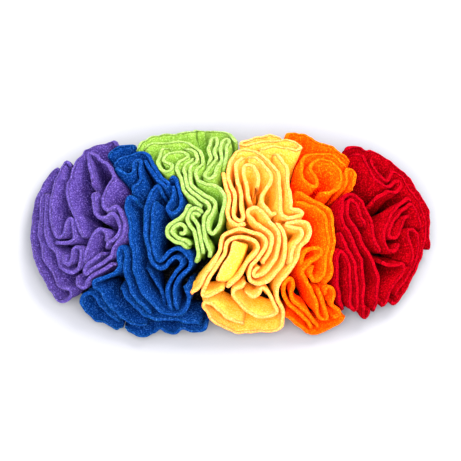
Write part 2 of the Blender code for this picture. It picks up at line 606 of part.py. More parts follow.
def add_backing():
    """The oval backing that every layer is sewn to, its underside on the ground."""
    mesh = bmesh.new()
    rings = (
        (0.0, BACKING_ROUND),
        (BACKING_ROUND, 0.0),
        (BACKING_THICKNESS - BACKING_ROUND, 0.0),
        (BACKING_THICKNESS, BACKING_ROUND),
    )
    loops = []
    for height, inset in rings:
        loop = []
        for side in range(BACKING_SIDES):
            angle = 2.0 * math.pi * side / BACKING_SIDES
            swing = (math.cos(angle), math.sin(angle))
            x = math.copysign(abs(swing[0]) ** (2.0 / PLAN_POWER), swing[0]) * (BACKING_HALF_LENGTH - inset)
            y = math.copysign(abs(swing[1]) ** (2.0 / PLAN_POWER), swing[1]) * (BACKING_HALF_DEPTH - inset)
            loop.append(mesh.verts.new((x, y, height)))
        loops.append(loop)
    for lower, upper in zip(loops, loops[1:]):
        for side in range(BACKING_SIDES):
            beyond = (side + 1) % BACKING_SIDES
            mesh.faces.new((lower[side], lower[beyond], upper[beyond], upper[side]))
    mesh.faces.new(loops[-1])
    mesh.faces.new(list(reversed(loops[0])))
    data = bpy.data.meshes.new("backing")
    mesh.to_mesh(data)
    mesh.free()
    add_object("backing", data, fleece("backing"))


def add_layers():
    """Every fleece layer, numbered within its colour."""
    for colour, layers in LAYERS.items():
        for number, turns in enumerate(layers, start=1):
            name = f"{colour}_layer_{number:02d}"
            add_object(name, layer_mesh(name, turns), fleece(colour))


def main():
    for old in list(bpy.data.objects):
        bpy.data.objects.remove(old)
    add_backing()
    add_layers()


main()
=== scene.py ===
"""Looks of the snuffle mat: each gathered fleece layer as a fine, soft sheet, its cloth, light and camera.

Each sheet repeats its layer's folds. They are laid out on the grid on which the mat is drawn from the front
and above: "across" runs from left to right and "down" from the back rim to the front one.
"""
import math

import bpy
import numpy as np
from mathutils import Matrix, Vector

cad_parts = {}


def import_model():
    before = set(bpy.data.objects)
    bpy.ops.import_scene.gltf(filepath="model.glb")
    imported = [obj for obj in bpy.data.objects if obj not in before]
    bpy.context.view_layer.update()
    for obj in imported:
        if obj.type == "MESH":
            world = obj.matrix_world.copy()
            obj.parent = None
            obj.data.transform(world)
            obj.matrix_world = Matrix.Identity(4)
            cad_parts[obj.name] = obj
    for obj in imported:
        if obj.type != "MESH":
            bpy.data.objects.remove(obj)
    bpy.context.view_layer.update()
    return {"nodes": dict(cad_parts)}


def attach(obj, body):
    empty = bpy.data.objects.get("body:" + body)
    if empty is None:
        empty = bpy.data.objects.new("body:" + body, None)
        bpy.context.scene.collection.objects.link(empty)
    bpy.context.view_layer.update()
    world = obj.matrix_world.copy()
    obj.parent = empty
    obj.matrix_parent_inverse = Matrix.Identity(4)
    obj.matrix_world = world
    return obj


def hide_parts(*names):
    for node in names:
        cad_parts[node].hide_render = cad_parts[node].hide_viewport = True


# The layout grid, the direction from which it is seen, and the dome over the cut edges
GRID_STEP = 0.00075
GRID_MIDDLE_ACROSS = 230.5
GRID_MIDDLE_DOWN = 237.0
VIEW_TILT = math.radians(70.0)
HALF_LENGTH = 0.152
HALF_DEPTH = 0.082
DOME_TOP = 0.058
DOME_EDGE = 0.010
PLAN_POWER = 2.6
DOME_POWER = 2.6
DOME_FALL = 0.7
FURTHEST_OUT = 0.985
SKIRT_REACH = 1.2
DOME_SEARCH_PLACES = 201

# The layers, as in the solids
BACKING_THICKNESS = 0.004
SEAM_GAP = 0.0003
FAN_LEAN = (0.65, 0.5)
GATHER_PULL = 0.25
SKIRT_START = 0.8
SKIRT_RUN = 0.008
TUCK_POWER = 5.0
GATHER_REACH = 0.030
LEAN_POWER = 2.3
CURVE_STEPS = 12

# The layers, finer than in the solids: how thick the cloth is at each level from foot to cut edge,
# the levels and the turns of the rounded edge, how near an edge the painted rim light lies and how deep in
# a fold the painted shade lies
THICKNESS_LEVELS = (0.0, 0.5, 0.9, 1.0)
THICKNESSES = (0.0010, 0.0024, 0.0024, 0.0030)
ALONG_STEP = 0.0011
UP_LEVELS = (0.0, 0.12, 0.25, 0.38, 0.5, 0.6, 0.69, 0.76, 0.82, 0.87, 0.91, 0.945, 0.97, 0.988)
EDGE_ROUND = (0.0, 38.0, 66.0, 90.0)
RIM_LIGHT_REACH = 0.0022
EDGE_FLATNESS = 0.75
FOLD_SHADE_REACH = 0.026
CORNER_REACH = 0.0045
CORNER_DROP = 0.0035
LYING_RUN_ON = 4.0

# Soft waves through the cloth: the way each runs, its length, the way it pushes
WAVES = (
    ((1.0, 0.3, 0.5), 0.023, (0.3, 1.0, 0.4)),
    ((-0.4, 1.0, 0.7), 0.019, (1.0, 0.2, -0.3)),
    ((0.6, -0.8, 1.0), 0.0145, (0.7, 0.7, 0.5)),
    ((1.0, 1.0, -0.6), 0.0115, (-0.6, 0.8, 0.6)),
    ((0.2, -0.3, 1.0), 0.0125, (1.0, -0.8, 0.0)),
    ((-1.0, 0.5, 0.9), 0.0085, (0.2, 0.9, 0.9)),
    ((0.8, -1.0, 0.4), 0.0064, (0.9, 0.4, 0.7)),
    ((1.0, 0.9, 0.1), 0.0053, (0.3, -0.6, 0.9)),
)
WAVE_STEEPNESS = 0.024
WAVE_START = 0.008
WAVE_SHIFT = 40.0

# The photo's frame, the camera and the floor
FRAME_PIXELS = 461
FRAME_MIDDLE = 230.5
AIM_HEIGHT = 0.020
CAMERA_DISTANCE = 3.0
CAMERA_REACH = 20.0
SENSOR_WIDTH = 36.0
FLOOR_HALF = 6.0

# The cloth's pile: how fine its grains and clumps are, how strong they and the painted sheen flecks show,
# how ragged the painted rim light on the cut edge is, how fast the painted fold shade deepens
PILE_SCALE = 900.0
CLUMP_SCALE = 160.0
NOISE_MIDDLE = 0.5
SHEEN_FLECKS = 3.2
GRAIN = 1.6
MOTTLE = 0.3
RIM_LIGHT_RAGGEDNESS = 1.6
FOLD_SHADE_POWER = 0.9
# How far the fibres that stand out of the faces turn the shading upwards
PILE_LIFT = 1.0

# Lamps, in watts, and the even light from all round
KEY_POWER = 26.0
FILL_POWER = 9.0
FRONT_POWER = 34.0
SURROUND = 1.10

# Each colour: its face, its painted shade deep in the folds, its cut edge's painted light, its pale painted
# sheen on the fibre tips
FLEECE_COLOURS = {
    "purple": ((0.092, 0.060, 0.210), (0.036, 0.018, 0.115), (0.092, 0.063, 0.212), (0.20, 0.155, 0.37)),
    "blue": ((0.003, 0.043, 0.165), (0.001, 0.018, 0.08), (0.005, 0.048, 0.175), (0.055, 0.15, 0.36)),
    "green": ((0.258, 0.390, 0.070), (0.14, 0.31, 0.022), (0.245, 0.350, 0.098), (0.33, 0.44, 0.20)),
    "yellow": ((0.96, 0.385, 0.072), (1.0, 0.54, 0.030), (0.90, 0.325, 0.085), (1.0, 0.40, 0.22)),
    "orange": ((1.0, 0.108, 0.001), (0.72, 0.012, 0.000), (1.0, 0.11, 0.003), (1.0, 0.27, 0.010)),
    "red": ((0.26, 0.000, 0.006), (0.13, 0.000, 0.001), (0.27, 0.001, 0.010), (0.52, 0.004, 0.024)),
    "backing": ((0.035, 0.035, 0.04), (0.035, 0.035, 0.04), (0.05, 0.05, 0.055), (0.2, 0.2, 0.2)),
}

# Middles of the gathers: across, down
GATHERS = (
    (88, 232),
    (128, 262),
    (150, 205),
    (192, 205),
    (258, 186),
    (252, 262),
    (318, 210),
    (312, 280),
    (380, 222),
)

# Creases towards which the layers beside them are tucked: from and to (across, down), pull, reach
CREASES = (
    ((66, 178), (69, 205), 0.5, 7),
    ((84, 178), (92, 212), 0.7, 11),
    ((101, 221), (113, 226), 0.5, 6),
    ((108, 150), (122, 190), 0.5, 9),
    ((137, 206), (141, 250), 0.6, 6),
    ((160.5, 214), (162, 240), 0.6, 8),
    ((190, 276), (196, 300), 0.7, 8),
    ((246, 296), (262, 304), 0.7, 9),
    ((110, 282), (126, 276), 0.7, 9),
    ((198, 262), (188, 287), 0.45, 9),
    ((258, 176), (262, 205), 0.6, 9),
    ((244, 178), (250, 200), 0.5, 5),
    ((292, 246), (300, 232), 0.5, 6),
    ((295, 290), (309, 312), 0.7, 7),
    ((312, 218), (318, 245), 0.6, 11),
    ((336, 196), (342, 215), 0.6, 9),
    ((322, 174), (330, 180), 0.5, 9),
    ((371, 208), (392, 205), 0.75, 9),
    ((376, 256), (392, 257), 0.7, 8),
    ((384, 272), (392, 286), 0.5, 8),
    ((343, 262), (344, 296), 0.5, 5),
    ((354, 208), (360, 224), 0.5, 6),
)

# The folds of each layer's cut edge, in order along it: across, down
LAYERS = {
    "purple": (
        (  # the left rim, out along the edge of the mat and back
            (55.7, 168.5), (54, 164.5), (50.5, 166.5), (46, 175.5), (41, 185), (36.5, 195), (33, 206),
            (31, 217), (30, 229), (31, 242), (33.5, 255), (38.5, 268), (45.5, 281), (52, 292),
            (58, 300.5), (64, 302), (70, 297), (70.5, 290.5), (65.5, 289.5), (61, 288), (55.5, 279.5),
            (49, 268), (43, 256), (39.5, 243), (38, 230), (38.7, 217), (40, 204), (42, 192),
        ),
        (
            (46.8, 191), (45.5, 200), (44, 211), (44, 223), (45, 234), (48, 244), (54, 250.5),
            (58.5, 257.5), (60.5, 265), (64.5, 270), (71, 272), (77, 269), (80.5, 262), (82, 254),
            (80, 248.7), (75.5, 247.5), (72.7, 251.5), (72, 258.5), (69, 264.3), (65, 260.5),
            (63.7, 254),
        ),
        (
            (69.5, 164.5), (66, 160.5), (61.5, 165), (55.5, 177), (52, 188), (50, 200), (49.5, 212),
            (51, 223), (55, 232), (60, 236.5), (64.5, 232), (66.3, 225), (69.3, 218.5), (72.7, 222),
            (73.6, 229.5), (73.7, 237.5), (69.5, 242.3), (62, 243.3), (55, 240.5),
        ),
        (
            (117, 142), (112, 139.3), (105, 139.5), (98, 142), (91, 145.3), (84.5, 150), (78.5, 157),
            (73.3, 166), (69.5, 175.5), (67, 185), (67.3, 196), (70, 206.5), (74.5, 216), (79, 226),
            (82.3, 234.5),
        ),
        (
            (91.5, 182), (90, 172), (88, 162), (87.5, 154.5), (92, 152.5), (99, 157), (105.5, 162.5),
            (110.5, 169.5), (112.5, 177), (109, 184), (105, 191), (103, 200), (105, 207.5), (110, 209),
            (115, 206.5), (120, 209), (123, 217), (124, 227), (123, 237), (118, 242.3), (114.3, 248.5),
            (112.3, 255.5), (107, 259.5), (99.5, 264), (92, 270), (87.5, 274.5), (84.3, 272), (87, 266),
            (93, 260), (99, 255.5), (104, 253.5),
        ),
        (
            (97, 191), (92.5, 196.5), (92.5, 205), (95, 212.5), (100, 217.5), (106, 217),
            (110.5, 213.5), (115, 213), (118, 217.5), (119.3, 225), (118.5, 233.5), (114, 239),
            (108.5, 242), (107, 247),
        ),
        (
            (77, 276), (78, 282), (82, 287), (86, 287), (88, 281.5), (93, 276.5), (100, 271),
            (107.5, 266.5), (115, 263),
        ),
        (
            (85.3, 261.5), (86.5, 256), (88.7, 247), (91.5, 239), (95.5, 232.3), (101, 229.7),
            (105.7, 233), (106.3, 239.5),
        ),
    ),
    "blue": (
        ((108, 154), (112.5, 149.5), (119, 146.5), (127, 143.5), (134, 142.5)),
        (
            (112.5, 164), (118, 160), (125, 156), (132, 153), (139, 151.8), (145.5, 154), (150, 159.5),
            (154, 165.7), (158.3, 172.3), (163.5, 178.3), (168.3, 183.5), (166.3, 187.3),
            (161.7, 183.3), (156.7, 178), (151.7, 171.3), (147.7, 164.7), (143.7, 159),
        ),
        (
            (115, 168), (121.5, 172), (128, 173), (133, 169.5), (132.5, 163.5), (135.5, 159),
            (139.7, 161), (140.5, 169), (141.5, 177), (138.5, 183), (133.7, 186), (132, 192),
        ),
        (
            (138.5, 200), (133, 196.7), (127.7, 197.7), (126, 204.5), (127.7, 214), (130, 226),
            (131.3, 238), (133.2, 250), (134.7, 263), (137.3, 275), (141.7, 286.5), (148, 297),
            (155, 305.5), (162.5, 312), (171, 315), (180, 314), (186, 308), (188.7, 300.5),
            (186.5, 292), (184.5, 286),
        ),
        (
            (160.7, 194), (159, 187.7), (155.7, 185.3), (152.7, 189.5), (149.7, 196), (147.5, 204),
            (146, 215), (145.7, 227), (146.7, 239), (149, 251), (152.7, 261), (158.5, 267), (165, 267),
            (171, 262), (177, 258), (181.7, 260.5), (181, 267), (175.5, 273.5), (170.3, 282),
            (168, 292), (169.3, 302), (173, 309.5),
        ),
        (
            (156.3, 201.5), (154, 208.5), (152.8, 217), (152.3, 229), (152.8, 241), (155, 252),
            (159.5, 259.5), (165, 258.5), (170, 252.5), (177, 249.5), (185, 251.5), (190.3, 257.5),
            (190, 266), (184.5, 273.5), (178.3, 281), (175, 290), (175.3, 300), (179, 307.5),
        ),
        (
            (169, 176.5), (172.5, 175.5), (175, 178), (176.9, 183.3), (180.3, 190), (181.7, 197.5),
            (180, 204.5), (176, 210.7), (170.7, 213.7), (167.3, 209.5), (170, 203), (173.7, 196.7),
            (174.8, 190), (172.5, 184),
        ),
        (
            (151.5, 311.5), (144.5, 305.5), (137.5, 297.5), (131.5, 288), (127.7, 277), (126, 266),
            (126.3, 256), (126, 249.5), (122.5, 246), (119.3, 251), (119, 259), (120.3, 266.5),
            (116, 272.5), (108, 275.5), (100, 279), (94, 283.5), (94.3, 288.3), (99, 289), (104.5, 295),
            (109.5, 303), (115, 310), (122.5, 316.5), (130.5, 322), (138.5, 325.3), (146, 324.5),
        ),
        (
            (121.5, 288), (126, 296), (132, 303.5), (139, 309.5), (147, 315.5), (156, 318),
            (165, 319.2), (176, 320.3), (188, 321.7), (200, 322),
        ),
        (
            (120, 320), (113.5, 317.5), (107, 312.5), (101, 305.5), (96, 298.7), (90, 293.7),
            (83.5, 295), (82.5, 302), (88, 311.5), (96, 320), (105, 322.5), (112, 327), (118, 329.7),
            (122.3, 326),
        ),
        (
            (127, 324.5), (127.5, 330), (133, 332.7), (141, 336), (149, 335.5), (155.5, 331),
            (160.5, 327.5), (167.5, 331.5), (176.5, 333.5), (182.5, 329), (189, 330), (198, 331),
            (205, 328.3), (206.3, 322),
        ),
        ((149, 266), (153.5, 272.5), (158.5, 278.5), (162, 285), (163.7, 292), (164.7, 297)),
    ),
    "green": (
        (
            (236.5, 141), (233, 134.5), (225, 131), (215, 130.5), (206, 129), (198, 128.5), (189, 131),
            (178, 131.5), (167, 132.5), (157, 134.5), (149, 137), (142, 141.5), (136.5, 147.5),
        ),
        (
            (143.5, 147.3), (148.5, 144.3), (156, 142), (165, 141), (176, 141.2), (187, 142.3),
            (194.5, 145.3), (200.3, 149.5), (203.3, 155), (202.2, 161.5), (197.7, 167), (195.5, 173),
            (198.5, 178.5), (205, 182.1), (212.3, 184.7), (218.9, 188.4), (223.7, 194.5), (224.8, 203),
            (223.3, 211.5), (220.5, 219.5), (217.5, 227.5), (212.7, 232.8), (208.3, 231), (208, 225),
            (210, 218.2), (214, 211.5), (216.2, 205), (213.3, 199), (206.3, 195.2), (198.8, 191.2),
            (193, 185.2), (190, 178), (188.7, 171), (191.7, 165), (196.5, 160.2), (198.2, 154.6),
            (193.3, 149.9), (186, 147.2),
        ),
        (
            (193.7, 156.7), (190, 161.3), (185, 165), (183, 169.7), (184.3, 175.5), (186.5, 182.2),
            (190, 189.3), (195.5, 195.5), (202.7, 199.3), (208.5, 203), (210, 208), (206.9, 213.7),
            (204.1, 220.8), (203.2, 228.5), (204.8, 237), (207.5, 244.5), (209.5, 251), (209, 256.5),
        ),
        (
            (166.5, 146.3), (161.3, 149.3), (158.7, 155.5), (158.3, 162), (161, 167.3), (166, 169.8),
            (171.3, 168.8), (172.3, 164.3), (168.5, 161.7), (164.7, 159.7), (163.7, 155.6),
            (168.3, 152), (177, 151), (184.7, 152.2), (188, 155.6), (184.3, 159.6), (178.8, 162.6),
            (176.8, 167.6), (178.6, 174.8), (181.7, 182), (184.8, 190.4), (190, 197.9), (196.2, 202.8),
            (201.8, 204.8),
        ),
        (
            (205.5, 164.3), (209, 160.3), (210.7, 155), (209, 149.5), (210, 143), (213.2, 137.6),
            (217.8, 137.8), (216.3, 145), (214.9, 152), (215, 158.5), (212.3, 164), (208, 168.5),
            (205.7, 174.3), (209.8, 178), (214.5, 175), (217.3, 168), (220, 160.5), (220.7, 152.5),
            (221, 145), (224.5, 138.5), (229.3, 138), (227.6, 144.5), (226, 152), (224.7, 159.3),
            (222.3, 166),
        ),
        (
            (190.3, 204.3), (186.7, 206.5), (184.3, 212.3), (180.5, 217.5), (174.7, 220.7),
            (169.8, 225.3), (168, 232), (170, 238.8), (176.5, 243.2), (183, 244.7), (187.5, 247.5),
        ),
        (
            (190.3, 243), (186.3, 240.7), (181, 239.3), (175.7, 236.7), (173.3, 231.8), (175, 226.5),
            (180.3, 223.2), (184.9, 224.7), (186.3, 229.3), (183.3, 232.7), (179.5, 231),
        ),
        (
            (203, 211.5), (199.3, 209.2), (193.7, 208.7), (189.3, 211.7), (188.3, 218), (190.3, 225),
            (193.7, 232), (196.3, 239.3), (198.3, 246.7), (198.7, 254), (196.5, 260),
        ),
        (
            (200.3, 215.5), (197.3, 213.8), (194, 214), (193.4, 218), (196.5, 223), (198.3, 229.7),
            (200.3, 237.2), (202.5, 244.7), (203.5, 252),
        ),
    ),
    "yellow": (
        (
            (281.3, 136), (275, 134.3), (267, 134.5), (258, 137), (250, 138.5), (241, 141.8),
            (246.5, 145), (256, 142.5), (265, 140), (276, 139.5), (288, 140.5), (297.5, 141.5),
            (301.5, 146), (295.5, 149.3), (286, 147.2), (276, 145), (267, 145.7), (260, 148.5),
        ),
        (
            (275, 151.5), (281, 157.5), (285.7, 167), (288, 177.5), (289, 189), (289.3, 199),
            (291.5, 207.3), (298.5, 209.8), (302, 213.3), (299, 216.8), (291.5, 216.9), (284, 214.6),
            (280, 208), (279.8, 198.5), (280.5, 188.5), (279.7, 178.5), (276.7, 170), (271.7, 162.5),
            (265, 156.3), (257.5, 152), (249.5, 149.8), (241, 149.5), (234, 152.3), (230.8, 160),
            (229, 169), (228.6, 178), (231, 186.5), (234.8, 194.5), (235.4, 203.5), (233.2, 212),
            (234.7, 219), (239.5, 220.5), (242.7, 215.5), (241.8, 207), (241.5, 197), (239.5, 187),
            (237, 178), (236.5, 168.5), (238.3, 160), (243.5, 155.5),
        ),
        (
            (224.3, 171.5), (224, 177.3), (225, 184.5), (227.5, 192.3), (229.6, 200), (228.3, 208),
            (228, 216), (231.5, 223), (238.5, 225.6), (245, 222.5),
        ),
        (
            (249.5, 156), (257, 158.5), (264.5, 164), (269.7, 171.5), (271, 180.5), (267.7, 188.5),
            (262.7, 195.5), (261.9, 203.3), (266.3, 210.3), (271.5, 214.7), (275.7, 211.5),
        ),
        (
            (250.5, 201), (247.7, 192), (245.7, 182), (243.8, 172), (245.7, 165), (251.3, 165),
            (256, 171), (258, 179.5), (256.5, 187),
        ),
        (
            (262, 262.5), (268.3, 254), (271.3, 245), (270.7, 236.5), (266, 229.7), (259.3, 224.8),
            (252.5, 219.7), (247.5, 214.3), (248, 209.2), (253, 206.6), (258.3, 209.5), (263.3, 214.8),
            (269.3, 220.7), (274.5, 227.3), (278, 235.7), (279, 245), (276.7, 255), (271.5, 263.7),
            (265.3, 271.2), (259, 276.3), (254.3, 277), (253.5, 272.5), (257.5, 267.5),
        ),
        (
            (277.5, 222), (281, 229.3), (284.3, 238), (285.5, 248), (283.7, 258), (279.5, 267.5),
            (273.5, 275.7), (266.3, 281.8), (258, 284), (251, 281), (248, 274.7), (250.7, 267.3),
            (256.3, 260.7), (261.7, 254.3), (265.3, 246.7), (265, 239.3), (260.3, 233.7), (252.5, 231),
            (243, 230), (233, 230.7), (224.7, 234.5), (221, 242.3), (218.5, 252), (213.5, 262),
            (207.5, 272), (202, 282), (196.5, 291), (190.5, 293),
        ),
        (
            (222.7, 288.7), (218, 291), (210.5, 294.8), (203.7, 296), (203.3, 290.5), (207.7, 281.5),
            (213.5, 271.5), (219.3, 262), (223.8, 252.5), (226.3, 243.7), (231.5, 238.7), (241, 237.5),
            (250.5, 238.8), (257, 243.3), (257.5, 250.3), (252.7, 257), (247, 263.5), (242, 270.3),
            (237.3, 276.7), (232, 282.3), (227.5, 286),
        ),
        (
            (245, 281), (241, 286), (235.3, 289), (232.5, 294.3), (236, 301.7), (242.5, 308),
            (250, 313.3), (259.5, 316.2), (269.5, 316.3), (276, 312.5), (274.7, 305.3), (270.7, 298.3),
            (267.3, 291.7), (262, 288.5), (258.5, 292.7), (252.5, 295), (245.5, 291),
        ),
        (
            (288.7, 263.5), (290, 259.5), (291.5, 252), (295, 244.7), (299.8, 239.3), (302, 233.3),
            (299, 228.6), (292.5, 227.3), (287, 226), (287.3, 222.5), (293, 222), (300.7, 222.4),
            (307.3, 225.7), (310.5, 232), (308, 238.7), (302.5, 243.7), (298.3, 249.7), (295.8, 257.7),
            (292.7, 266), (287, 274), (280.7, 281.3), (276.3, 288.7), (276, 296), (279.3, 303.5),
            (281.5, 310.5), (282.3, 318), (281.5, 326), (271, 331), (258, 332.3), (245, 332.5),
            (233, 330.5), (222, 326.7), (213, 321), (207.5, 314.5), (203.5, 307), (206.5, 302),
            (213, 303.5), (219.5, 309.5), (226, 315), (233.5, 319.5), (242, 322.5),
        ),
        ((231.5, 243.5), (228.6, 252), (224.4, 261), (219.7, 269.5), (217.5, 273.2)),
    ),
    "orange": (
        (
            (286, 137.3), (290, 133), (298.5, 133), (307.5, 133.5), (315.5, 139.5), (325, 144.3),
            (334.5, 148), (342.5, 152.5), (349.5, 158.5),
        ),
        (
            (345.5, 163.5), (338.5, 158), (331, 155), (321.5, 153.8), (312, 153.3), (304.8, 155.5),
            (301.5, 161.7), (301.3, 169.5), (303.8, 177.7), (308.3, 184), (313.5, 186.3),
            (316.7, 181.5), (315.3, 174), (311.3, 168), (311, 162.5), (316.5, 160), (325, 160),
            (333, 162.5), (339.5, 168), (340.8, 176), (340.3, 184), (335.5, 190), (328, 192.3),
            (321.3, 190.3),
        ),
        (
            (296.5, 191), (302, 195.2), (309, 197.7), (316.5, 200.5), (323.3, 205), (329, 211),
            (332.3, 219), (333.3, 229), (333, 239), (332, 249), (330.7, 259), (330.5, 268),
            (329.5, 276), (325.7, 282.5),
        ),
        (
            (296.3, 200.5), (302.7, 203.5), (310, 205.3), (317.3, 208.2), (323.3, 213.3), (326.8, 221),
            (327.8, 231), (327.5, 241), (326.5, 250), (325, 259), (324.3, 267.5), (322.3, 275.2),
            (317, 279.7), (311.5, 277.7), (309.7, 271.5), (313.3, 265.5),
        ),
        (
            (300.9, 263.3), (300.7, 256.7), (304.3, 251.3), (311, 248.7), (317.7, 249.2),
            (320.3, 253.7), (316, 258.5), (309.3, 262.3), (303.7, 267.7), (302.5, 274.5),
            (305.8, 281.5), (311, 288.5), (314.5, 296.5), (316, 305), (317.7, 313.5), (322, 320),
            (326.5, 318.5), (326, 311.5), (323, 303.5), (320.7, 295), (319.3, 286.5),
        ),
        (
            (317.3, 327), (312.3, 320), (306.7, 313), (299.7, 307.3), (293.5, 301), (290.5, 293.3),
            (292, 286), (290.5, 279.7), (285.7, 281.7), (282.7, 288.5), (284.5, 296.7), (289, 304.3),
            (295.3, 310.5), (302.5, 316), (307.7, 322), (310.3, 327),
        ),
        (
            (325.3, 292), (328, 287.3), (332.5, 289.3), (333.3, 296), (331.5, 303), (335, 306.7),
            (339, 309.5), (339, 314), (335, 316), (331.7, 312.7),
        ),
        (
            (287, 316), (294, 321.3), (301.5, 327), (309, 333), (318, 333), (326.5, 330), (334, 326),
            (340.5, 321), (343.7, 315),
        ),
        (
            (345.5, 187.5), (347.5, 180.5), (345.5, 173), (348.5, 167.5), (353.5, 170.5), (355.5, 178),
            (353.3, 186.5),
        ),
    ),
    "red": (
        (
            (346, 148.3), (349, 146.5), (353.7, 145.3), (359, 145), (363.5, 148), (367.3, 150.7),
            (371.5, 150.5), (377, 152.3), (385, 155.5), (392, 160), (398, 165.3), (404.3, 171.3),
            (410.3, 178), (415.5, 186), (420.3, 194.3), (425.3, 202), (429.7, 209.7), (431, 218.5),
            (431.5, 228), (431.3, 237.5), (429.3, 246.5),
        ),
        (
            (371, 158.5), (373.5, 165.3), (377.5, 171.7), (382.3, 176.7), (387.3, 178.7), (391, 175.7),
            (393, 170.3), (397.7, 172.3), (403, 177.3), (407.7, 183.3), (412, 190.5), (416.5, 198),
            (420.7, 205.3), (424, 213), (425.7, 221.5), (426.3, 231), (425.5, 241), (423.3, 250.5),
            (420, 260), (416.3, 269.3), (411.7, 278.7), (406.3, 287.3), (401.5, 295), (397.5, 302.5),
            (392.7, 305), (391, 300.5),
        ),
        (
            (351, 152.5), (357.5, 153.3), (363, 156.3), (366.3, 162), (369, 169), (373.3, 175.7),
            (379, 181.3), (385, 184.7), (390.5, 184), (394.7, 180.7), (399, 179.3), (402.3, 183),
            (400.3, 188), (394.5, 190.7), (388, 191.5), (382, 194.7), (376.5, 198.3), (372.7, 202.5),
        ),
        (
            (411, 199), (407.7, 197.7), (403.3, 200.7), (398, 206.5), (392, 213), (387.7, 220.5),
            (385.3, 228.5), (384.3, 236.5), (385, 243.7), (388.5, 249.7), (393.5, 251.5),
            (397.5, 248.5), (398, 243),
        ),
        (
            (421, 226), (420.3, 217.5), (417, 209.7), (411, 203.7), (405.5, 207.3), (399.3, 213.3),
            (393.5, 221), (390, 229), (389.7, 236), (393.7, 238.5), (398.3, 234.3), (401.3, 227.5),
            (404.7, 220.3), (409.7, 213.7),
        ),
        (
            (394, 294.5), (398.5, 288.3), (404.5, 281), (410, 272.3), (414.5, 263.3), (417.7, 254),
            (420, 244.7), (418.9, 236.5), (414.3, 230.3), (408.5, 229.7), (407.3, 235.3), (410.7, 242),
            (413.3, 249), (412.5, 256.7), (408.7, 264.5),
        ),
        (
            (380, 260), (383.5, 263), (388.5, 265.3), (395.3, 266), (400.5, 264.3), (403.3, 268.5),
            (401, 275), (396.3, 282), (390.7, 288.7), (387.3, 296.5), (385.5, 303.5), (381.5, 306),
            (380, 300.5),
        ),
        (
            (368.7, 308), (368.5, 315.5), (365.3, 318.7), (362.3, 314), (362.5, 303), (363, 290),
            (362.3, 277), (360.7, 265), (357.7, 254), (353.3, 244), (348.3, 235), (344.5, 226),
            (342, 217), (341.3, 208), (342.5, 199.5), (346.7, 194), (352.5, 193.7), (358.3, 198),
            (363.7, 204.7), (368.3, 212.7), (370.7, 221.7), (372.7, 231), (376, 240.5), (380, 249.5),
        ),
        (
            (373.5, 309), (375, 302.5), (376.3, 294), (377.2, 286), (377, 281.5), (375.7, 272),
            (372, 262), (367, 252), (361.7, 242), (356.3, 232), (351.3, 223), (347.7, 214),
            (347, 205.5), (349.5, 199.5), (354.3, 201.3), (358.7, 207.7), (362.3, 215.5),
            (364.7, 224.5),
        ),
        (
            (342.5, 306.5), (339, 301), (337.5, 292), (336.5, 280), (336.3, 268), (337.3, 256.5),
            (340.7, 250.3), (344.7, 253.3), (347.5, 261.3), (349, 271.5), (349.7, 283.5), (350, 295.5),
            (350, 306), (353.5, 311), (357, 306), (356.7, 293), (356, 280), (354.7, 268),
            (351.7, 257.3), (347, 248), (341.7, 239.5), (339, 231),
        ),
    ),
}

# Layers that lie over into a hollow: how deep below the dome their cut edge is, how far over it lies from
# the foot (across, down), and the power that says how near to the edge the layer bends over
LYING = {
    "blue_layer_12": (0.010, (6, 0), 5.0),
    "yellow_layer_11": (0.001, (-13, -5), 20.0),
}


def smooth_curve(turns):
    """Points along a smooth curve through the turns, CURVE_STEPS to each stretch."""
    spots = [np.array(turn, dtype=float) for turn in turns]
    ends = [2.0 * spots[0] - spots[1]] + spots + [2.0 * spots[-1] - spots[-2]]
    points = []
    for before, start, end, after in zip(ends, ends[1:], ends[2:], ends[3:]):
        for step in range(CURVE_STEPS):
            part = step / CURVE_STEPS
            points.append(
                0.5
                * (
                    2.0 * start
                    + (end - before) * part
                    + (2.0 * before - 5.0 * start + 4.0 * end - after) * part**2
                    + (3.0 * start - before - 3.0 * end + after) * part**3
                )
            )
    points.append(spots[-1])
    return np.array(points)


def even_curve(turns):
    """The same curve, with its points ALONG_STEP apart."""
    curve = smooth_curve(turns)
    reach = np.concatenate(([0.0], np.cumsum(np.linalg.norm(np.diff(curve, axis=0), axis=1))))
    count = max(int(round(reach[-1] * GRID_STEP / ALONG_STEP)), 4)
    wanted = np.linspace(0.0, reach[-1], count + 1)
    return np.stack([np.interp(wanted, reach, curve[:, k]) for k in range(2)], axis=1)


def dome_height(x, y):
    """Height of the dome of cut edges over the plan, flat past its rim."""
    out = (np.abs(x) / HALF_LENGTH) ** PLAN_POWER + (np.abs(y) / HALF_DEPTH) ** PLAN_POWER
    out = np.minimum(out ** (1.0 / PLAN_POWER), 1.0)
    return DOME_EDGE + (DOME_TOP - DOME_EDGE) * (1.0 - out**DOME_POWER) ** DOME_FALL


def on_dome(places):
    """Points on the dome, in metres, that the layout grid shows at these places."""
    x = (places[:, 0] - GRID_MIDDLE_ACROSS) * GRID_STEP
    x = np.clip(x, -FURTHEST_OUT * HALF_LENGTH, FURTHEST_OUT * HALF_LENGTH)
    seen_up = (GRID_MIDDLE_DOWN - places[:, 1]) * GRID_STEP
    room = (1.0 - (np.abs(x) / HALF_LENGTH) ** PLAN_POWER) ** (1.0 / PLAN_POWER)
    back = room * HALF_DEPTH * FURTHEST_OUT
    front = np.full_like(back, -SKIRT_REACH * HALF_DEPTH)
    steps = np.linspace(0.0, 1.0, DOME_SEARCH_PLACES)[None, :]
    y = front[:, None] + (back - front)[:, None] * steps
    seen = y * math.sin(VIEW_TILT) + dome_height(x[:, None], y) * math.cos(VIEW_TILT)
    found = np.empty_like(x)
    for row in range(len(x)):
        top = int(np.argmax(seen[row]))
        found[row] = np.interp(seen_up[row], seen[row, : top + 1], y[row, : top + 1])
    return np.stack((x, found, dome_height(x, found)), axis=1)


def unit(vectors):
    """The same vectors, one metre long."""
    return vectors / np.maximum(np.linalg.norm(vectors, axis=-1, keepdims=True), 1e-12)


